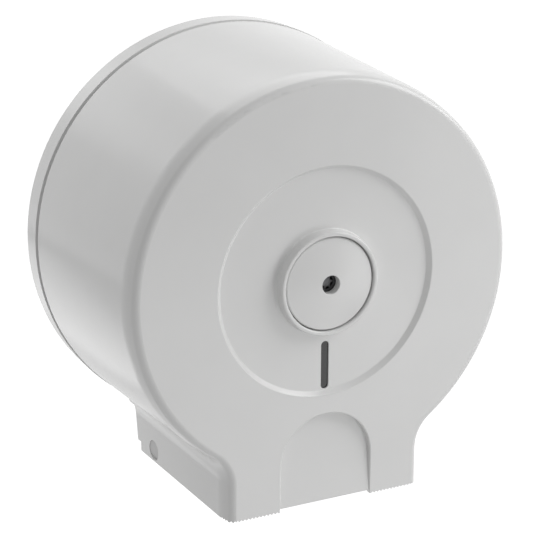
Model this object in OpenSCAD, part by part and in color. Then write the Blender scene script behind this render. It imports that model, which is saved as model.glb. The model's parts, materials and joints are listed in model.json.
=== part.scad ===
// Jumbo toilet roll dispenser for a wall: a round dish carries a spindle with a
// rotating hub for the roll, and a drum-shaped cover with a paper outlet neck
// hinges on two studs beside the outlet and locks onto the end of the spindle.
//
// Every piece is drawn in the wall frame: x to the right, y up, z out of the
// wall, with the drum's axis on z. mounted() turns that frame upright, so that
// up is +Z, the front faces -Y and the wall is the plane y = 0.

/* [Cover] */
// Radius of the drum at its front edge
drum_r = 110; // [104:1:132]
// How much the drum and the neck widen from the front edge to the rear edge
draft = 5; // [3:0.5:6]
// Distance from the wall to the flat front face
depth = 136; // [130:1:164]
// Thickness of the moulded wall
wall = 2.8; // [2.4:0.1:3.4]
// Radius of the front edge where it turns into the front face
edge_r = 4; // [3.6:0.1:6]
// Radius of the long curve that leads from the wall into the front edge
edge_sweep = 40; // [30:1:46]
// Half the width of the neck at its front edge
neck_half_w = 58; // [52:1:66]
// How far the neck's lower edge lies below the drum
neck_drop = 15.4; // [12:0.2:26]
// Radius of the hollow blend between drum and neck
blend_r = 20; // [14:1:24]
// Height of the stiffening ribs inside the front wall
rib_h = 4; // [2:0.5:6]

/* [Front face] */
// Radius of the round recess at the front face
recess_r = 62.5; // [56:0.5:70]
// Depth of the round recess
recess_d = 2.5; // [1.5:0.5:3.5]
// Width of the recess's sloping wall
recess_slope = 2.2; // [1.6:0.1:4]
// Radius of the raised ring round the lock, at its foot
boss_r = 29.2; // [29:0.1:30]
// How far the ring's crest stands in front of the front face
boss_proud = 3.2; // [1:0.2:3.6]
// Radius of the lock cap inside the ring
cap_r = 25; // [22:0.5:25.5]
// Gap between the lock cap and the ring
cap_gap = 0.7; // [0.4:0.1:1]
// Rise of the lock cap's crown over its rim
cap_crown = 1.8; // [1:0.2:3.4]
// Radius of the hole that the key goes through
key_hole_r = 5; // [4:0.5:6]
// Width of the level window
window_w = 4.6; // [4:0.2:6]
// Length of the level window
window_len = 26.8; // [18:0.4:26.8]
// Half the width of the arch on the neck
arch_half_w = 26.9; // [22:0.1:31]
// Height of the arch over the neck's lower edge
arch_h = 52.4; // [40:0.2:54]
// How far the neck's edge is cut back under the arch
arch_rise = 2; // [0.5:0.1:3]
// Depth of the arch's sloping floor at its top
arch_d = 5; // [3:0.5:6]
// Pitch of the tear teeth
tooth_pitch = 2.1; // [1.8:0.1:3.5]
// Height of the tear teeth
tooth_h = 0.9; // [0.6:0.1:1.8]

/* [Back plate] */
// Depth of the back plate's rim
rim_d = 13; // [11:0.5:16]
// Open joint between the rim and the cover
joint_gap = 2.8; // [1.6:0.1:3.2]
// Thickness of the back plate's floor
floor_t = 2.5; // [2:0.1:4]
// Depth of the ribs that rest on the wall
foot_h = 2; // [1:0.5:3]
// Distance across between the wall screws
screw_x = 130; // [100:5:140]
// Distance up between the wall screws
screw_y = 110; // [80:5:120]
// Radius of a wall screw slot
screw_slot_r = 2.75; // [2:0.25:3.5]
// Length of a wall screw slot
screw_slot_len = 14; // [8:1:16]

/* [Hinge] */
// Distance of the hinge axis from the wall
hinge_out = 45.4; // [40:0.2:56]
// Height of the hinge axis over the neck's lower edge
hinge_up = 6.8; // [6.6:0.1:9]
// Radius of the hole that the hinge stud turns in
hinge_r = 5.8; // [4:0.1:6]
// Radial clearance of every running fit
run_gap = 0.08; // [0.04:0.01:0.1]
// Free space between the cover's side wall and the hinge ear
ear_gap = 0.5; // [0.4:0.1:1]
// Thickness of a hinge ear
ear_t = 3.4; // [2.6:0.2:4.4]

/* [Spindle and hub] */
// Outer radius of the spindle
spindle_r = 21; // [20.5:0.5:24]
// Thickness of the hub's barrel
hub_wall = 3.5; // [3:0.5:5]
// Length of the hub's barrel in front of its flange
hub_len = 82; // [66:1:90]
// Radius of the hub's flange
hub_flange_r = 32; // [29:1:40]

/* [Lock] */
// Radius of the lock's body
lock_r = 9.5; // [8.5:0.5:10]
// Radius of the lock's rotor
rotor_r = 6; // [5.5:0.25:6.5]
// Half the length of the latch bar
latch_half = 12; // [10:0.5:12.5]
// Width of the latch bar
latch_w = 6; // [5:0.5:6.5]
// Thickness of the latch bar
latch_t = 2.5; // [2:0.5:3]

/* [Hidden] */
$fn = 96;

// Two faces that must not coincide in a cut are kept this far apart
over = 1;
// Gap at which two pieces of one assembly lie face to face
seat = 0.1;

// Places that follow from the sizes above
cover_rear_z = rim_d + joint_gap;
neck_y = -(drum_r + neck_drop);
blend_x = neck_half_w + blend_r;
blend_y = -sqrt(pow(drum_r + blend_r, 2) - pow(blend_x, 2));
rim_r = drum_r + draft + 0.5;
recess_z = depth - recess_d;
inner_z = recess_z - wall;
hinge_y = neck_y + hinge_up;
stud_r = hinge_r - run_gap;

// Rear edge of the neck's side walls: where it starts at the bottom, how far it
// leans back to the top, and the notch in its lower corner
side_z = 24.4;
side_lean = 2.8;
side_notch = [5.4, 4];

// Stack along the drum's axis, from the wall to the lock
spindle_base_z = 8;
flange_t = 4;
ring_stack_z = spindle_base_z + flange_t + seat;
spring_t = 0.5;
spring_h = 1.6;
felt_t = 1.8;
hub_z = ring_stack_z + spring_h + felt_t + 0.3;
hub_flange_t = 2.6;
hub_end_z = hub_z + hub_flange_t + hub_len;
hub_washer_t = 1;
groove_z = hub_end_z + 0.15 + hub_washer_t + seat;
groove_w = 1.6;
keeper_t = 2;
spindle_end_z = groove_z + groove_w + 3.75 + keeper_t;
keeper_z = spindle_end_z - keeper_t;
lock_rear_z = spindle_end_z + 3;
latch_front_z = keeper_z - 1;
latch_rear_z = latch_front_z - latch_t;

// Front edge: the long curve out of the wall meets the tight one at edge_turn, a
// direction from both centres. edge_in and edge_back are what the pair takes up
// across the front face and along the wall, and edge_z is where it leaves the wall.
edge_turn = [0.96, 0.28];
edge_in = edge_sweep - (edge_sweep - edge_r) * edge_turn.x;
edge_back = edge_r + (edge_sweep - edge_r) * edge_turn.y;
edge_z = depth - edge_back;

// Half width of the neck's outside at a distance z from the wall
function neck_half(z) = neck_half_w + draft * (edge_z - z) / (edge_z - cover_rear_z);
// Points along an arc
function arc(c, r, a0, a1, n = 5) =
    [for (i = [0:n]) let (a = a0 + (a1 - a0) * i / n) c + r * [cos(a), sin(a)]];

module mounted() rotate([90, 0, 0]) children();

// ---------------------------------------------------------------- cover form

// Section of the front edge's two curves, for a wall whose outside is at x
module edge_curves(x, inset, side = 1) {
    long = edge_sweep - inset;
    tight = edge_r - inset;
    turn = [side * edge_turn.x, edge_turn.y];
    translate([x - side * edge_sweep, edge_z]) intersection() {
        circle(long);
        polygon([[0, 0], [side * 2 * long, 0], 2 * long * turn]);
    }
    translate([x - side * edge_in, depth - edge_r]) intersection() {
        circle(tight);
        polygon([[0, 0], 2 * tight * turn, 2 * tight * [side, 1], [0, 2 * tight]]);
    }
}

// A point inside both curves' sections, for a wall whose outside is at x
function edge_core(x, inset) =
    [x - edge_in, depth - edge_r] + (edge_r - inset) / 2 * edge_turn;

// Section of the drum from its axis to its outside
module drum_section(inset, stub) {
    r = drum_r - inset;
    z1 = depth - inset;
    polygon([[0, cover_rear_z - stub], [r + draft, cover_rear_z - stub],
             [r + draft, cover_rear_z], [r, edge_z], edge_core(drum_r, inset),
             [drum_r - edge_in, z1], [0, z1]]);
    edge_curves(drum_r, inset);
}

// Section across the neck
module neck_section(inset, stub) {
    w = neck_half_w - inset;
    x1 = neck_half_w - edge_in;
    z1 = depth - inset;
    core = edge_core(neck_half_w, inset);
    polygon([[-w - draft, cover_rear_z - stub], [w + draft, cover_rear_z - stub],
             [w + draft, cover_rear_z], [w, edge_z], core, [x1, z1],
             [-x1, z1], [-core.x, core.y], [-w, edge_z], [-w - draft, cover_rear_z]]);
    edge_curves(neck_half_w, inset);
    edge_curves(-neck_half_w, inset, -1);
}

// Section of the hollow that blends the drum into the neck, from its own axis
module blend_section(inset, stub) {
    r = blend_r + inset;
    x1 = blend_r + edge_in;
    difference() {
        polygon([[0, cover_rear_z - stub - over], [r - draft, cover_rear_z - stub - over],
                 [r - draft, cover_rear_z], [r, edge_z], [x1, edge_z],
                 [x1, depth + over], [0, depth + over]]);
        edge_curves(blend_r, inset, -1);
    }
}

// The whole outer form, or the hollow inside it when inset is the wall
module cover_form(inset = 0, stub = 0, low_y = neck_y) {
    z0 = cover_rear_z - stub;
    h = depth - inset - z0;
    // core that ties the sectors together behind the recess
    translate([0, 0, z0]) cylinder(r = drum_r - edge_sweep, h = h);
    difference() {
        rotate_extrude() drum_section(inset, stub);
        translate([0, 0, z0 - over]) linear_extrude(h + 2 * over)
            polygon([[0, 0], 2 * [blend_x, blend_y], 2 * [-blend_x, blend_y]]);
    }
    difference() {
        translate([0, 0, z0]) linear_extrude(h)
            polygon([[0, 0], [blend_x, blend_y], [-blend_x, blend_y]]);
        for (s = [-1, 1])
            translate([s * blend_x, blend_y, 0]) rotate_extrude() blend_section(inset, stub);
    }
    translate([0, blend_y, 0]) rotate([90, 0, 0])
        linear_extrude(blend_y - low_y) neck_section(inset, stub);
}

// ---------------------------------------------------------------- cover details

arch_cy = neck_y + arch_h - arch_half_w;
arch_foot_d = 0.4;
arch_tilt = atan((arch_d - arch_foot_d) / arch_h);
arch_chamfer = 0.5;

// Outline of the arch, grown by g
module arch_outline(g = 0) {
    translate([0, arch_cy]) circle(arch_half_w + g);
    translate([-arch_half_w - g, neck_y - over])
        square([2 * (arch_half_w + g), arch_cy - neck_y + over]);
}

// Everything in front of the arch's sloping floor, moved back by t
module before_arch_floor(t = 0) {
    translate([0, neck_y, depth - arch_foot_d - t]) rotate([-arch_tilt, 0, 0])
        translate([-2 * arch_half_w, -10, 0]) cube([4 * arch_half_w, 100, 40]);
}

module arch_cut() {
    intersection() {
        translate([0, 0, depth - 30]) linear_extrude(30 + over) arch_outline();
        before_arch_floor();
    }
    // chamfer along the arch's edge
    translate([0, arch_cy, depth - arch_chamfer])
        cylinder(r1 = arch_half_w, r2 = arch_half_w + arch_chamfer, h = arch_chamfer);
    translate([0, arch_cy, 0]) rotate([90, 0, 0]) linear_extrude(arch_cy - neck_y + over)
        polygon([[-arch_half_w, depth - arch_chamfer], [arch_half_w, depth - arch_chamfer],
                 [arch_half_w + arch_chamfer, depth], [-arch_half_w - arch_chamfer, depth]]);
    // the edge under the arch, higher than the toothed edges beside it
    translate([-arch_half_w - arch_chamfer, neck_y - over, edge_z])
        cube([2 * (arch_half_w + arch_chamfer), arch_rise + over, edge_back + over]);
}

// Wall left standing behind the arch
module arch_backing() {
    intersection() {
        translate([0, 0, depth - 30]) linear_extrude(30 + over) arch_outline(wall);
        before_arch_floor(wall);
    }
}

// The recess: sloping wall with a softened edge at the top and at the foot
module recess_cut() {
    floor_r = recess_r - recess_slope;
    a = atan2(recess_d, recess_slope);
    soft = 0.9;
    k = soft * tan(a / 2);
    rotate_extrude() polygon(concat(
        [[0, recess_z]],
        arc([floor_r - k, recess_z + soft], soft, 270, 270 + a, 3),
        arc([recess_r + k, depth - soft], soft, 90 + a, 90, 3),
        [[recess_r + k, depth + over], [0, depth + over]]));
}

// Raised ring round the lock cap, steep-sided and hollow at its foot
seat_r = cap_r + cap_gap;
crest_z = depth + boss_proud;
module boss_ring() {
    crest_out = min(seat_r + 2.3, boss_r - 1);
    soft = min(0.8, (crest_out - seat_r) / 2.2);
    foot_round = 0.7;
    rotate_extrude() polygon(concat(
        [[seat_r, inner_z + wall / 2]],
        arc([seat_r + soft, crest_z - soft], soft, 180, 90, 4),
        arc([crest_out - soft, crest_z - soft], soft, 90, 5, 4),
        arc([boss_r, recess_z + foot_round], foot_round, 180, 270, 5),
        [[boss_r, inner_z + wall / 2]]));
}

rib_t = 1.8;
// Ribs behind the front wall, kept clear of the window, the lock and the arch
module front_ribs() {
    rib_start = boss_r + 6;
    for (a = [0:45:315]) if (a != 270)
        rotate(a) translate([rib_start, -rib_t / 2, inner_z - rib_h])
            cube([drum_r - edge_back - rib_start, rib_t, rib_h + recess_d + over]);
    for (r = [rib_start - 2, recess_r + 6])
        translate([0, 0, inner_z - rib_h]) difference() {
            cylinder(r = r + rib_t, h = rib_h + recess_d + over);
            translate([0, 0, -over]) cylinder(r = r, h = rib_h + recess_d + 3 * over);
            translate([-window_plate_w / 2 - 1, -recess_r - 12, -over])
                cube([window_plate_w + 2, recess_r + 12, rib_h + recess_d + 3 * over]);
        }
}

// Gap between two tear teeth, its root on the y axis
module tooth_gap(t) {
    half = tooth_pitch / 2 - 0.1;
    linear_extrude(t) polygon([[-half, -over], [-half, 0], [0, tooth_h], [half, 0], [half, -over]]);
}

// Teeth along the neck's lower edge beside the arch and round its corners
module teeth_cut() {
    x0 = arch_half_w + arch_chamfer + 0.6 + tooth_pitch / 2;
    x1 = neck_half_w - edge_in;
    flat_count = floor((x1 - x0) / tooth_pitch) + 1;
    tight_step = 2 * asin(tooth_pitch / 2 / edge_r);
    long_step = 2 * asin(tooth_pitch / 2 / edge_sweep);
    turn_a = atan2(edge_turn.x, edge_turn.y);
    for (s = [0, 1]) mirror([s, 0, 0]) {
        for (i = [0:flat_count - 1])
            translate([x0 + i * tooth_pitch, neck_y, depth - wall - 1]) tooth_gap(wall + 2);
        for (a = [tight_step / 2:tight_step:turn_a])
            translate([x1, neck_y, depth - edge_r]) rotate([0, a, 0]) tooth_gap(edge_r + 1);
        for (i = [0:2])
            translate([neck_half_w - edge_sweep, neck_y, edge_z])
                rotate([0, turn_a + (i + 0.5) * long_step, 0])
                    translate([0, 0, edge_sweep - wall - 1]) tooth_gap(wall + 2);
    }
}

// The window plate behind the slot and the pegs that hold it
window_y = -(boss_r + 3.7 + window_len / 2);
window_plate_w = 27;
window_plate_h = window_len + 6;
window_plate_t = 1.8;
peg_x = 9;
peg_r = 1.5;
peg_len = 4;
slot_gap = 0.15;

// Upright slot with round ends
module slot(w, len) {
    translate([0, len / 2 - w / 2]) circle(w / 2);
    translate([0, w / 2 - len / 2]) circle(w / 2);
    translate([-w / 2, w / 2 - len / 2]) square([w, len - w]);
}

module window_pegs() {
    for (s = [-1, 1])
        translate([s * peg_x, window_y, inner_z - peg_len]) cylinder(r = peg_r, h = peg_len + 1);
}

module cover() color([0.94, 0.94, 0.93]) mounted() {
    difference() {
        cover_form();
        difference() {
            cover_form(wall, over, neck_y - 5);
            translate([0, 0, inner_z]) cylinder(r = recess_r + 1.5, h = 20);
            arch_backing();
            front_ribs();
        }
        recess_cut();
        arch_cut();
        // hole for the lock body
        translate([0, 0, inner_z - over]) cylinder(r = lock_r + seat, h = 20);
        // window slot
        translate([0, window_y, inner_z - over]) linear_extrude(20) slot(window_w, window_len);
        // bearing holes for the hinge studs
        translate([0, hinge_y, hinge_out]) rotate([0, 90, 0])
            cylinder(r = hinge_r, h = 4 * neck_half_w, center = true);
        // the neck's side walls start in front of the back plate's neck
        translate([-2 * neck_half_w, 0, 0]) rotate([90, 0, 90]) linear_extrude(4 * neck_half_w)
            polygon([[blend_y + 4.5, cover_rear_z - over], [blend_y + 4.5, side_z - side_lean],
                     [neck_y + side_notch.x, side_z], [neck_y + side_notch.x, side_z + side_notch.y],
                     [neck_y - over, side_z + side_notch.y], [neck_y - over, cover_rear_z - over]]);
        teeth_cut();
    }
    boss_ring();
    window_pegs();
}

module level_window() color([0.2, 0.2, 0.21]) mounted() {
    difference() {
        translate([-window_plate_w / 2, window_y - window_plate_h / 2,
                   inner_z - window_plate_t - seat])
            cube([window_plate_w, window_plate_h, window_plate_t]);
        for (s = [-1, 1]) translate([s * peg_x, window_y, inner_z - 10])
            cylinder(r = peg_r + 0.1, h = 20);
    }
    translate([0, window_y, inner_z - window_plate_t / 2])
        linear_extrude(window_plate_t / 2 + wall - 0.9)
            slot(window_w - 2 * slot_gap, window_len - 2 * slot_gap);
}

module window_clips() color([0.6, 0.6, 0.62]) mounted() {
    for (s = [-1, 1])
        translate([s * peg_x, window_y, inner_z - window_plate_t - 2 * seat - 0.8])
            difference() {
                union() {
                    cylinder(r = 4, h = 0.8);
                    translate([0, 0, -0.5]) cylinder(r1 = 2.4, r2 = 3, h = 0.6);
                }
                translate([0, 0, -over]) cylinder(r = peg_r + 0.04, h = 4);
            }
}

// ---------------------------------------------------------------- lock

cap_rim_z = depth + boss_proud - 1.2;
cap_top_z = cap_rim_z + cap_crown;
cap_sphere_r = (cap_r * cap_r + cap_crown * cap_crown) / (2 * cap_crown);
cap_t = 2;
cap_chamfer = 0.5;
key_lip = 0.6;
lock_face_z = cap_top_z - 5.7;
key_ring_r = 3.9;
key_ring_w = 1.3;
key_ring_d = 3.5;
key_pin_r = 0.6;
lock_flange_r = 12.5;
lock_flange_t = 1.6;
nut_t = 4;
nut_flats = 24;

// Domed cap with a skirt that stands on the recess floor
module lock_cap() color([0.94, 0.94, 0.93]) mounted() {
    base_z = recess_z + seat / 2;
    difference() {
        intersection() {
            translate([0, 0, base_z]) cylinder(r = cap_r, h = 20);
            translate([0, 0, cap_top_z - cap_sphere_r]) sphere(cap_sphere_r);
            // chamfer round the rim
            translate([0, 0, cap_rim_z - cap_chamfer - 10])
                cylinder(r1 = cap_r + 10, r2 = cap_r - 10, h = 20);
        }
        difference() {
            intersection() {
                translate([0, 0, base_z - over]) cylinder(r = cap_r - 1.6, h = 20);
                translate([0, 0, cap_top_z - cap_sphere_r]) sphere(cap_sphere_r - cap_t);
            }
            // collar that reaches down to the lock's flange
            translate([0, 0, base_z + lock_flange_t + seat]) cylinder(r = key_hole_r + 2.6, h = 20);
            for (a = [45:90:315]) rotate(a)
                translate([key_hole_r + 1, -0.7, base_z + lock_flange_t + seat])
                    cube([cap_r - key_hole_r - 2, 1.4, 20]);
        }
        // key hole with a rounded lip
        lip_z = cap_top_z - key_lip;
        rotate_extrude() polygon(concat([[0, base_z - over], [key_hole_r, base_z - over]],
            arc([key_hole_r + key_lip, lip_z], key_lip, 180, 90, 4),
            [[key_hole_r + key_lip, cap_top_z + over], [0, cap_top_z + over]]));
    }
}

module lock_body() color([0.55, 0.55, 0.56]) mounted() {
    difference() {
        union() {
            translate([0, 0, recess_z + seat / 2]) cylinder(r = lock_flange_r, h = lock_flange_t);
            translate([0, 0, lock_rear_z])
                cylinder(r = lock_r, h = recess_z + seat - lock_rear_z);
            // stops that limit the rotor's washer to a quarter turn
            for (a = [-stop_a, 90 + stop_a]) rotate(a)
                translate([5.5, -1, lock_rear_z - 1.2]) cube([3, 2, 1.7]);
        }
        translate([0, 0, lock_rear_z - 5]) cylinder(r = rotor_r + run_gap, h = 60);
    }
}

module lock_nut() color([0.62, 0.62, 0.63]) mounted() {
    translate([0, 0, inner_z - nut_t - seat]) difference() {
        cylinder(r = nut_flats / 2 / cos(30), h = nut_t, $fn = 6);
        translate([0, 0, -over]) cylinder(r = lock_r + 0.05, h = nut_t + 2 * over);
    }
}

// keeper and latch places along the axis
keeper_r = 18.5;
neck_r = 3.4;
tang = 4.8;
washer_t = 1;

module lock_rotor() color([0.3, 0.3, 0.31]) mounted() {
    difference() {
        union() {
            translate([0, 0, lock_rear_z]) cylinder(r = rotor_r, h = lock_face_z - lock_rear_z);
            translate([-3, -3, lock_rear_z - washer_t - seat]) cube([6, 6, washer_t + 1]);
            translate([0, 0, latch_front_z])
                cylinder(r = neck_r, h = lock_rear_z - washer_t - seat - latch_front_z);
            translate([-tang / 2, -tang / 2, latch_rear_z + 0.1])
                cube([tang, tang, latch_front_z - latch_rear_z]);
        }
        // socket for a tubular key: a ring with seven pins in it, and one notch
        difference() {
            translate([0, 0, lock_face_z - key_ring_d]) cylinder(r = key_ring_r, h = 5);
            translate([0, 0, lock_face_z - key_ring_d - over])
                cylinder(r = key_ring_r - key_ring_w, h = 5 + 2 * over);
            for (i = [0:6]) rotate(i * 360 / 7)
                translate([key_ring_r - key_ring_w / 2, 0, lock_face_z - key_ring_d - over])
                    cylinder(r = key_pin_r, h = key_ring_d + over - 0.3);
        }
        translate([-0.7, 3, lock_face_z - 2]) cube([1.4, 2, 4]);
        translate([0, 0, latch_rear_z - over]) cylinder(r = 1.3, h = 8);
    }
}

module lock_stop_washer() color([0.66, 0.66, 0.67]) mounted() {
    translate([0, 0, lock_rear_z - washer_t - seat / 2]) difference() {
        union() {
            cylinder(r = 5.2, h = washer_t - seat / 2);
            translate([0, -1.5, 0]) cube([8.2, 3, washer_t - seat / 2]);
        }
        translate([-3.05, -3.05, -over]) cube([6.1, 6.1, washer_t + 2 * over]);
    }
}

module latch_bar() color([0.66, 0.66, 0.67]) mounted() {
    translate([0, 0, latch_rear_z]) difference() {
        union() {
            translate([-latch_half + latch_w / 2, -latch_w / 2, 0])
                cube([2 * latch_half - latch_w, latch_w, latch_t]);
            for (s = [-1, 1]) translate([s * (latch_half - latch_w / 2), 0, 0])
                cylinder(r = latch_w / 2, h = latch_t);
        }
        translate([-tang / 2 - 0.05, -tang / 2 - 0.05, -over])
            cube([tang + 0.1, tang + 0.1, latch_t + 2 * over]);
    }
}

module latch_screw() color([0.6, 0.6, 0.62]) mounted() {
    translate([0, 0, latch_rear_z - seat]) {
        difference() {
            translate([0, 0, -1.8]) cylinder(r = 3.4, h = 1.8);
            for (a = [0, 90]) rotate(a) translate([-2, -0.4, -1.8 - over])
                cube([4, 0.8, over + 1]);
        }
        translate([0, 0, -0.1]) cylinder(r = 1.25, h = 6);
    }
}

// ---------------------------------------------------------------- back plate

ear_x = neck_half(hinge_out + 10) - wall - ear_gap;
ear_round = 6.6;
pad_r = hub_flange_r + 6;
floor_top = foot_h + floor_t;
spindle_screw_r = 29;
spindle_screw_shank = 1.9;
lip_r = drum_r + draft - wall - 0.6;
step_r = rim_r - 2.5;
stud_slant = 3;
stop_a = 28;

module screw_slots(r, len) {
    for (sx = [-1, 1], sy = [-1, 1])
        translate([sx * screw_x / 2, sy * screw_y / 2]) rotate(90) slot(2 * r, len);
}

// Side view of a hinge ear: across is the distance from the wall, up is y
module ear_outline() {
    tip = [hinge_out, hinge_y];
    y_rim = -sqrt(pow(rim_r, 2) - pow(ear_x, 2));
    translate(tip) circle(ear_round);
    polygon([[floor_top - 1, y_rim + 26], [rim_d + 10, y_rim + 14],
             [tip.x + ear_round * cos(30), tip.y + ear_round * sin(30)],
             tip, [tip.x, tip.y - ear_round], [tip.x - 10, hinge_y - 3],
             [rim_d + 7, hinge_y + 1], [rim_d + 3.4, y_rim - 4],
             [rim_d + 2.5, y_rim + 1], [floor_top - 1, y_rim + 5]]);
}

module ear(s) {
    mirror([s > 0 ? 0 : 1, 0, 0]) {
        translate([ear_x, 0, 0]) rotate([0, -90, 0]) linear_extrude(ear_t) ear_outline();
        // stud with a slanted end, so that the cover snaps over it
        stud_end = neck_half(hinge_out) - 0.1;
        run = stud_slant / stud_r;
        difference() {
            translate([ear_x - 1, hinge_y, hinge_out]) rotate([0, 90, 0])
                cylinder(r = stud_r, h = stud_end - ear_x + 3);
            translate([0, hinge_y + 10, hinge_out]) rotate([90, 0, 0]) linear_extrude(20)
                polygon([[stud_end + run, -stud_r - 2], [stud_end - stud_slant - run, stud_r + 2],
                         [stud_end + 5, stud_r + 2], [stud_end + 5, -stud_r - 2]]);
        }
    }
}

module back_plate() color([0.9, 0.9, 0.9]) mounted() {
    difference() {
        union() {
            // floor, rim and the ribs that stand on the wall
            translate([0, 0, foot_h]) cylinder(r = rim_r - 1, h = floor_t);
            difference() {
                cylinder(r = rim_r, h = rim_d);
                translate([0, 0, -over]) cylinder(r = rim_r - 3, h = rim_d + 2 * over);
            }
            for (r = [70, 95]) difference() {
                cylinder(r = r, h = foot_h + 1);
                translate([0, 0, -over]) cylinder(r = r - 2, h = foot_h + 3);
            }
            for (a = [0:30:330]) rotate(a)
                translate([pad_r - 2, -1, 0]) cube([rim_r - pad_r, 2, foot_h + 1]);
            // pad that carries the spindle
            cylinder(r = pad_r, h = spindle_base_z);
            // bosses round the wall screw slots
            linear_extrude(floor_top + 1.5) screw_slots(screw_slot_r + 3, screw_slot_len + 6);
            // ribs on the front of the floor
            for (a = [30, 90, 150, 210, 330]) rotate(a)
                translate([pad_r - 1, -1.2, foot_h + 1])
                    cube([rim_r - pad_r - 1, 2.4, floor_t + 3]);
            // step that the cover's rear edge closes onto
            translate([0, 0, foot_h + 1]) difference() {
                cylinder(r = step_r, h = cover_rear_z - 0.2 - foot_h - 1);
                translate([0, 0, -over]) cylinder(r = step_r - 2.5, h = rim_d + 10);
            }
            // lip that locates the cover's upper half
            intersection() {
                difference() {
                    cylinder(r = lip_r, h = rim_d + 5);
                    translate([0, 0, -over]) cylinder(r = lip_r - 2, h = rim_d + 8);
                }
                translate([-200, 0, foot_h + 1]) cube([400, 200, 40]);
            }
            // neck panel between the ears
            translate([5 - ear_x, hinge_y - 2, rim_d - 1]) cube([2 * (ear_x - 5), 24, 3]);
            ear(1);
            ear(-1);
        }
        translate([0, 0, -over]) linear_extrude(40) screw_slots(screw_slot_r, screw_slot_len);
        for (a = [45:90:315]) rotate(a) translate([spindle_screw_r, 0, 1.2])
            cylinder(r = spindle_screw_shank + 0.05, h = 20);
    }
}

// ---------------------------------------------------------------- spindle and hub

groove_r = spindle_r - 1.4;
keeper_screw_y = 15.9;

module spindle() color([0.85, 0.85, 0.86]) mounted() {
    z0 = spindle_base_z + seat / 2;
    end_block_z = spindle_end_z - 14;
    difference() {
        union() {
            translate([0, 0, z0]) cylinder(r = pad_r - 2, h = flange_t);
            translate([0, 0, z0]) cylinder(r = spindle_r, h = spindle_end_z - z0);
        }
        translate([0, 0, z0 + flange_t]) cylinder(r = spindle_r - 3, h = end_block_z - z0 - flange_t);
        translate([0, 0, z0 + flange_t]) cylinder(r = latch_half + 1.4, h = 200);
        translate([0, 0, keeper_z]) cylinder(r = keeper_r + 0.1, h = 20);
        // groove for the retaining ring
        translate([0, 0, groove_z]) difference() {
            cylinder(r = spindle_r + 5, h = groove_w);
            translate([0, 0, -over]) cylinder(r = groove_r, h = groove_w + 2 * over);
        }
        // screw holes through the flange, with seats for the heads
        for (a = [45:90:315]) rotate(a) translate([spindle_screw_r, 0, 0]) {
            cylinder(r = spindle_screw_shank + 0.3, h = 30);
            translate([0, 0, spindle_base_z + 1.6]) cylinder(r = 4, h = 20);
        }
        for (s = [-1, 1]) translate([0, s * keeper_screw_y, keeper_z - 9])
            cylinder(r = 1.25, h = 20);
    }
}

// Cross-headed screw standing on z = 0, its head above
module screw(shank_r, shank_len, head_r, head_h) {
    translate([0, 0, -shank_len]) cylinder(r = shank_r, h = shank_len + 0.1);
    difference() {
        cylinder(r1 = head_r, r2 = head_r - 0.5, h = head_h);
        for (a = [0, 90]) rotate(a)
            translate([-head_r * 0.6, -0.4, head_h - 1]) cube([head_r * 1.2, 0.8, 2]);
    }
}

module spindle_screws() color([0.6, 0.6, 0.62]) mounted() {
    for (a = [45:90:315]) rotate(a)
        translate([spindle_screw_r, 0, spindle_base_z + 1.6 + seat])
            screw(spindle_screw_shank, 7.6, 3.6, 2.2);
}

module keeper_plate() color([0.66, 0.66, 0.67]) mounted() {
    slot_low = neck_r + 4.8;
    slot_high = neck_r + 0.7;
    difference() {
        translate([0, 0, keeper_z + seat / 2]) cylinder(r = keeper_r, h = keeper_t - seat / 2);
        translate([-latch_half - 0.7, -slot_low, keeper_z - over])
            cube([2 * latch_half + 1.4, slot_low + slot_high, keeper_t + 2 * over]);
        for (s = [-1, 1]) translate([0, s * keeper_screw_y, keeper_z - over])
            cylinder(r = 1.5, h = 5);
    }
}

module keeper_screws() color([0.6, 0.6, 0.62]) mounted() {
    for (s = [-1, 1]) translate([0, s * keeper_screw_y, keeper_z + keeper_t + seat / 2])
        screw(1.2, 9, 2.4, 1.4);
}

// Ring of spring wire stood on three raised humps
module wave_spring() color([0.7, 0.7, 0.71]) mounted() {
    difference() {
        union() {
            translate([0, 0, ring_stack_z]) cylinder(r = spindle_r + 6, h = spring_t);
            for (a = [0:120:240]) rotate(a)
                translate([spindle_r + 0.8, -4, ring_stack_z]) cube([4.6, 8, spring_h]);
        }
        translate([0, 0, ring_stack_z - over]) cylinder(r = spindle_r + 0.4, h = 5);
    }
}

module friction_ring() color([0.35, 0.36, 0.38]) mounted() {
    translate([0, 0, ring_stack_z + spring_h + seat]) difference() {
        cylinder(r = spindle_r + 7, h = felt_t);
        translate([0, 0, -over]) cylinder(r = spindle_r + 0.3, h = 5);
    }
}

hub_r = spindle_r + run_gap + hub_wall;
groove_d = 0.8;

module roll_hub() color([0.8, 0.8, 0.81]) mounted() {
    difference() {
        union() {
            translate([0, 0, hub_z]) cylinder(r = hub_flange_r, h = hub_flange_t);
            difference() {
                union() {
                    translate([0, 0, hub_z + over]) cylinder(r = hub_r, h = hub_end_z - 3 - hub_z - over);
                    translate([0, 0, hub_end_z - 3]) cylinder(r1 = hub_r, r2 = hub_r - 1.4, h = 3);
                }
                // grip grooves along the whole barrel
                for (a = [30:60:330]) rotate(a)
                    translate([hub_r - groove_d, -1.5, hub_z]) cube([5, 3, hub_len + 10]);
            }
        }
        // bearing lands at both ends, relieved between them
        translate([0, 0, hub_z - over]) cylinder(r = spindle_r + run_gap, h = 200);
        translate([0, 0, hub_z + 14]) cylinder(r = spindle_r + 0.8, h = hub_len - 26);
    }
}

module hub_washer() color([0.9, 0.9, 0.88]) mounted() {
    translate([0, 0, hub_end_z + 0.15]) difference() {
        cylinder(r = hub_r - 1, h = hub_washer_t);
        translate([0, 0, -over]) cylinder(r = spindle_r + 0.2, h = 4);
    }
}

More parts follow.
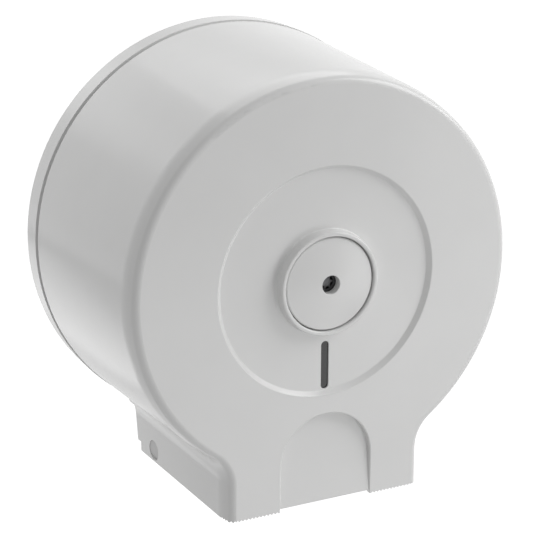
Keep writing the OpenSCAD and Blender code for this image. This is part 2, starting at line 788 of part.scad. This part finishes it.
// Open retaining ring in the spindle's groove
module hub_retainer() color([0.6, 0.6, 0.62]) mounted() {
    translate([0, 0, groove_z + 0.05]) difference() {
        cylinder(r = hub_r - 1.5, h = groove_w - 0.1);
        translate([0, 0, -over]) cylinder(r = groove_r + 0.05, h = 5);
        translate([-4, -40, -over]) cube([8, 40, 5]);
    }
}

back_plate();
spindle();
spindle_screws();
keeper_plate();
keeper_screws();
wave_spring();
friction_ring();
roll_hub();
hub_washer();
hub_retainer();
cover();
level_window();
window_clips();
lock_cap();
lock_body();
lock_nut();
lock_rotor();
lock_stop_washer();
latch_bar();
latch_screw();
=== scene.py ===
"""Jumbo toilet roll dispenser: finishes, floor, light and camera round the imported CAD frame.

Everything is in metres in the part's own frame: +Z up, the front faces -Y, the wall is the
plane y = 0 and the drum's axis is the Y axis.
"""

import json
import math

import bpy
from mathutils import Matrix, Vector

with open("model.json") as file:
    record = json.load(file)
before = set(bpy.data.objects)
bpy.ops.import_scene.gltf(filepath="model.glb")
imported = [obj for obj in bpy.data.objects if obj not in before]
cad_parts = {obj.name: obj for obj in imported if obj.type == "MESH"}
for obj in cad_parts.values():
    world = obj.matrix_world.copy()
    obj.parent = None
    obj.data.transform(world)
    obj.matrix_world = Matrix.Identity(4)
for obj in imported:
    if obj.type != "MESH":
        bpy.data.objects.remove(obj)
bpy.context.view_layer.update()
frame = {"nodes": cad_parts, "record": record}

MM = 0.001

# Camera: the spot it looks at, how far off it stands and from where (azimuth from the front)
CAMERA_TARGET = Vector((5.5, -53.0, -16.9)) * MM
CAMERA_DISTANCE = 1029.5 * MM
CAMERA_AZIMUTH = -26.2
CAMERA_ELEVATION = 18.6
CAMERA_LENS = 124.5
SENSOR_WIDTH = 36.0

# Studio: a floor well below the part, and an even light from all round
FLOOR_Z = -0.9
FLOOR_RADIUS = 6.0
FLOOR_VERTICES = 128
FLOOR_COLOR = (0.82, 0.82, 0.82, 1.0)
FLOOR_GLOW = 0.75
WHITE = (1.0, 1.0, 1.0, 1.0)
WORLD_LEVEL = 0.397
WHITE_LEVEL = 1.0

# Area lights: name, direction from the part (azimuth from the front, elevation), distance,
# power and size
LIGHTS = [
    ("key_right", 60.0, 30.0, 1.2, 6.4, 0.8),
    ("fill_right", 40.0, -12.0, 1.2, 0.8, 0.45),
    ("fill_low", 20.0, -28.0, 1.0, 0.6, 0.4),
    ("back_top", 160.0, 55.0, 1.5, 5.1, 1.2),
    ("back_level", -160.0, 8.0, 1.5, 2.6, 1.2),
    ("back_high", -160.0, 30.0, 1.2, 0.5, 0.5),
    ("back_low", -160.0, -28.0, 1.0, 0.35, 0.4),
]

# The stretch of a noise value's range that steers a finish from its first to its second value
NOISE_LOW, NOISE_HIGH = 0.3, 0.7


# ------------------------------------------------------------------ finishes


def metal(dark, light, rough, grain_scale, grain_height, stretch=(1.0, 1.0, 1.0)):
    """Bare metal with a blotchy tone and a directional or cast grain."""
    return {
        "shader": {"Metallic": 1.0},
        "noises": {
            "blotch": dict(scale=220.0, detail=4.0, rough=0.6),
            "grain": dict(scale=grain_scale, detail=4.0, rough=0.6, stretch=stretch),
        },
        "tone": ("blotch", dark, light),
        "rough": ("grain", *rough),
        "bumps": [("grain", grain_height)],
    }


# One finish for each material slot of the record:
#   shader  values set on the Principled shader itself
#   noises  named noise textures, whose scale counts features in a metre
#   tone    the noise that steers the base colour, and the colour's dark and light ends
#   rough   the noise that steers the roughness, and its two ends
#   bumps   the noises that raise the surface, each with its height in millimetres
FINISHES = {
    # Moulded ABS with a satin gloss: slow flow shading and a faint orange peel
    "white_abs": {
        "shader": {"IOR": 1.5},
        "noises": {
            "flow": dict(scale=28.0, detail=3.0),
            "grain": dict(scale=3500.0),
            "peel": dict(scale=380.0),
        },
        "tone": ("flow", (0.79, 0.79, 0.785), (0.81, 0.81, 0.805)),
        "rough": ("grain", 0.18, 0.24),
        "bumps": [("peel", 0.006), ("grain", 0.0006)],
    },
    # ABS of the spindle and the hub, with a fine eroded texture
    "grey_abs": {
        "shader": {"IOR": 1.5},
        "noises": {
            "flow": dict(scale=45.0, detail=3.0),
            "grain": dict(scale=2600.0, detail=3.0, rough=0.65),
        },
        "tone": ("flow", (0.52, 0.53, 0.54), (0.58, 0.585, 0.59)),
        "rough": ("grain", 0.42, 0.6),
        "bumps": [("grain", 0.02)],
    },
    # Natural nylon: creamy and slightly cloudy
    "nylon": {
        "shader": {"IOR": 1.53, "Subsurface Weight": 0.15, "Subsurface Scale": 0.001},
        "noises": {
            "cloud": dict(scale=160.0, detail=4.0),
            "grain": dict(scale=1800.0),
        },
        "tone": ("cloud", (0.72, 0.7, 0.62), (0.8, 0.785, 0.71)),
        "rough": ("cloud", 0.4, 0.55),
        "bumps": [("grain", 0.01)],
    },
    # Pressed felt: matted fibres and a soft sheen, equally matt all over
    "felt": {
        "shader": {"Roughness": 0.95, "Sheen Weight": 0.35, "Sheen Roughness": 0.6},
        "noises": {
            "fibres": dict(scale=1500.0, detail=6.0, rough=0.75, stretch=(1.0, 2.5, 1.0)),
        },
        "tone": ("fibres", (0.035, 0.038, 0.042), (0.13, 0.135, 0.14)),
        "bumps": [("fibres", 0.25)],
    },
    # Smoked clear styrene, polished, with fine rub marks. Its near-black, nearly opaque tone is
    # partly the real smoke tint and partly painted shade of the dark hollow behind it
    "smoked_window": {
        "shader": {"IOR": 1.46, "Transmission Weight": 0.02},
        "noises": {
            "haze": dict(scale=60.0),
            "rub": dict(scale=900.0, detail=3.0, rough=0.6, stretch=(6.0, 1.0, 1.0)),
        },
        # painted shade: this near-black tone, with almost no transmission, stands in for the
        # shaded inside of the drum seen through the window
        "tone": ("haze", (0.004, 0.004, 0.0045), (0.016, 0.016, 0.0165)),
        "rough": ("rub", 0.08, 0.24),
        "bumps": [("rub", 0.0006)],
    },
    # Zinc-plated strip, with its rolled grain along X
    "steel_strip": metal(
        dark=(0.39, 0.39, 0.4), light=(0.52, 0.52, 0.53), rough=(0.28, 0.45),
        grain_scale=900.0, grain_height=0.004, stretch=(1.0, 1.0, 12.0),
    ),
    # Zinc-plated screws and the nut
    "zinc_screw": metal(
        dark=(0.42, 0.43, 0.445), light=(0.56, 0.57, 0.585), rough=(0.22, 0.36),
        grain_scale=1400.0, grain_height=0.003,
    ),
    # Die-cast body of the lock
    "cast_zinc": metal(
        dark=(0.36, 0.36, 0.37), light=(0.5, 0.5, 0.51), rough=(0.4, 0.6),
        grain_scale=700.0, grain_height=0.02,
    ),
    # The lock's turning part: cast and blackened
    "dark_zinc": metal(
        dark=(0.09, 0.09, 0.093), light=(0.2, 0.2, 0.205), rough=(0.4, 0.6),
        grain_scale=1100.0, grain_height=0.04,
    ),
}


# ------------------------------------------------------------------ node helpers


def node(tree, kind, **values):
    """A shader node with its sockets and properties set by name."""
    new = tree.nodes.new(kind)
    for key, value in values.items():
        if key in new.inputs:
            new.inputs[key].default_value = value
        else:
            setattr(new, key, value)
    return new


def link(tree, out, into):
    tree.links.new(out, into)


def noise(tree, scale, detail=2.0, rough=0.5, stretch=(1.0, 1.0, 1.0)):
    """Noise in the part's own coordinates: scale counts features in a metre."""
    coords = node(tree, "ShaderNodeTexCoord")
    mapping = node(tree, "ShaderNodeMapping", Scale=stretch)
    link(tree, coords.outputs["Object"], mapping.inputs["Vector"])
    tex = node(tree, "ShaderNodeTexNoise", Scale=scale, Detail=detail, Roughness=rough)
    link(tree, mapping.outputs["Vector"], tex.inputs["Vector"])
    return tex.outputs["Fac"]


def spread(tree, value, low, high):
    """Maps a noise value onto the range low to high."""
    ends = {"From Min": NOISE_LOW, "From Max": NOISE_HIGH, "To Min": low, "To Max": high}
    remap = node(tree, "ShaderNodeMapRange", **ends)
    link(tree, value, remap.inputs["Value"])
    return remap.outputs["Result"]


def tint(tree, value, dark, light):
    """Colour between dark and light, steered by a noise value."""
    ramp = node(tree, "ShaderNodeValToRGB")
    ends = ((NOISE_LOW, dark), (NOISE_HIGH, light))
    for element, (position, color) in zip(ramp.color_ramp.elements, ends):
        element.position = position
        element.color = (*color, 1.0)
    link(tree, value, ramp.inputs["Fac"])
    return ramp.outputs["Color"]


def raise_surface(tree, layers):
    """Stacked height layers, each a value and its height in millimetres."""
    normal = None
    for value, height in layers:
        bump = node(tree, "ShaderNodeBump", Strength=1.0, Distance=height * MM)
        link(tree, value, bump.inputs["Height"])
        if normal:
            link(tree, normal, bump.inputs["Normal"])
        normal = bump.outputs["Normal"]
    return normal


def mix_shaders(tree, factor, first, second):
    """The first shader where factor is 0 and the second where it is 1."""
    mix = node(tree, "ShaderNodeMixShader")
    link(tree, factor, mix.inputs["Fac"])
    link(tree, first, mix.inputs[1])
    link(tree, second, mix.inputs[2])
    return mix.outputs["Shader"]


def white_where_seen(tree, lit, white):
    """A lit shader, which rays that look at the background see as the white one."""
    path = node(tree, "ShaderNodeLightPath")
    seen = path.outputs["Is Camera Ray"]
    for ray in ("Is Glossy Ray", "Is Transmission Ray"):
        either = node(tree, "ShaderNodeMath", operation="MAXIMUM")
        link(tree, seen, either.inputs[0])
        link(tree, path.outputs[ray], either.inputs[1])
        seen = either.outputs["Value"]
    return mix_shaders(tree, seen, lit, white)


# ------------------------------------------------------------------ object


def make_finish(name, shader, noises, tone, bumps, rough=None):
    """The material of one row of FINISHES."""
    mat = bpy.data.materials.new(name)
    mat.use_nodes = True
    tree = mat.node_tree
    bsdf = tree.nodes["Principled BSDF"]
    for socket, value in shader.items():
        bsdf.inputs[socket].default_value = value
    made = {key: noise(tree, **values) for key, values in noises.items()}
    steered_by, dark, light = tone
    link(tree, tint(tree, made[steered_by], dark, light), bsdf.inputs["Base Color"])
    if rough:
        steered_by, low, high = rough
        link(tree, spread(tree, made[steered_by], low, high), bsdf.inputs["Roughness"])
    normal = raise_surface(tree, [(made[key], height) for key, height in bumps])
    link(tree, normal, bsdf.inputs["Normal"])
    return mat


def dress_nodes():
    """Gives each CAD node the finish of its own material slot."""
    materials = {name: make_finish(name, **row) for name, row in FINISHES.items()}
    slots = {row["node"]: row["material_slot"] for row in frame["record"]["subparts"]}
    for name, obj in frame["nodes"].items():
        obj.data.materials.clear()
        obj.data.materials.append(materials[slots[name]])


# ------------------------------------------------------------------ studio


def make_world():
    """Even light from all round, which the camera and reflections see as plain white."""
    world = bpy.data.worlds.new("studio")
    bpy.context.scene.world = world
    world.use_nodes = True
    tree = world.node_tree
    lit = tree.nodes["Background"]
    lit.inputs["Color"].default_value = WHITE
    lit.inputs["Strength"].default_value = WORLD_LEVEL
    white = node(tree, "ShaderNodeBackground", Color=WHITE, Strength=WHITE_LEVEL)
    surface = white_where_seen(tree, lit.outputs["Background"], white.outputs["Background"])
    link(tree, surface, tree.nodes["World Output"].inputs["Surface"])


def floor_material():
    """Pale paper that only diffuse rays see plainly.

    The camera sees it lifted to white by a glow, with the part's shadow on it, and
    reflections see plain white.
    """
    mat = bpy.data.materials.new("floor_paper")
    mat.use_nodes = True
    tree = mat.node_tree
    tree.nodes.remove(tree.nodes["Principled BSDF"])
    paper = node(tree, "ShaderNodeBsdfDiffuse", Color=FLOOR_COLOR).outputs["BSDF"]
    glow = node(tree, "ShaderNodeEmission", Color=WHITE, Strength=FLOOR_GLOW)
    white = node(tree, "ShaderNodeEmission", Color=WHITE, Strength=WHITE_LEVEL)
    lifted = node(tree, "ShaderNodeAddShader")
    link(tree, paper, lifted.inputs[0])
    link(tree, glow.outputs["Emission"], lifted.inputs[1])
    from_camera = node(tree, "ShaderNodeLightPath").outputs["Is Camera Ray"]
    looked_at = mix_shaders(tree, from_camera, white.outputs["Emission"], lifted.outputs["Shader"])
    surface = white_where_seen(tree, paper, looked_at)
    link(tree, surface, tree.nodes["Material Output"].inputs["Surface"])
    return mat


def make_floor():
    bpy.ops.mesh.primitive_circle_add(
        vertices=FLOOR_VERTICES, radius=FLOOR_RADIUS, fill_type="NGON", location=(0, 0, FLOOR_Z))
    floor = bpy.context.object
    floor.name = "floor"
    floor.data.materials.append(floor_material())


def direction(azimuth, elevation):
    """Unit vector from the part towards a viewer at this azimuth from the front."""
    a, e = math.radians(azimuth), math.radians(elevation)
    return Vector((math.sin(a) * math.cos(e), -math.cos(a) * math.cos(e), math.sin(e)))


def place(name, data, location):
    """A camera or lamp at this place that looks at the camera's target."""
    obj = bpy.data.objects.new(name, data)
    bpy.context.scene.collection.objects.link(obj)
    obj.location = location
    obj.rotation_euler = (CAMERA_TARGET - obj.location).to_track_quat("-Z", "Y").to_euler()
    return obj


def make_lights():
    for name, azimuth, elevation, distance, power, size in LIGHTS:
        data = bpy.data.lights.new(name, "AREA")
        data.energy = power
        data.size = size
        lamp = place(name, data, distance * direction(azimuth, elevation))
        lamp.visible_camera = False


def make_camera():
    data = bpy.data.cameras.new("camera")
    data.lens = CAMERA_LENS
    data.sensor_width = SENSOR_WIDTH
    offset = CAMERA_DISTANCE * direction(CAMERA_AZIMUTH, CAMERA_ELEVATION)
    bpy.context.scene.camera = place("camera", data, CAMERA_TARGET + offset)


dress_nodes()
make_world()
make_floor()
make_lights()
make_camera()
bpy.context.scene.view_settings.view_transform = "Standard"
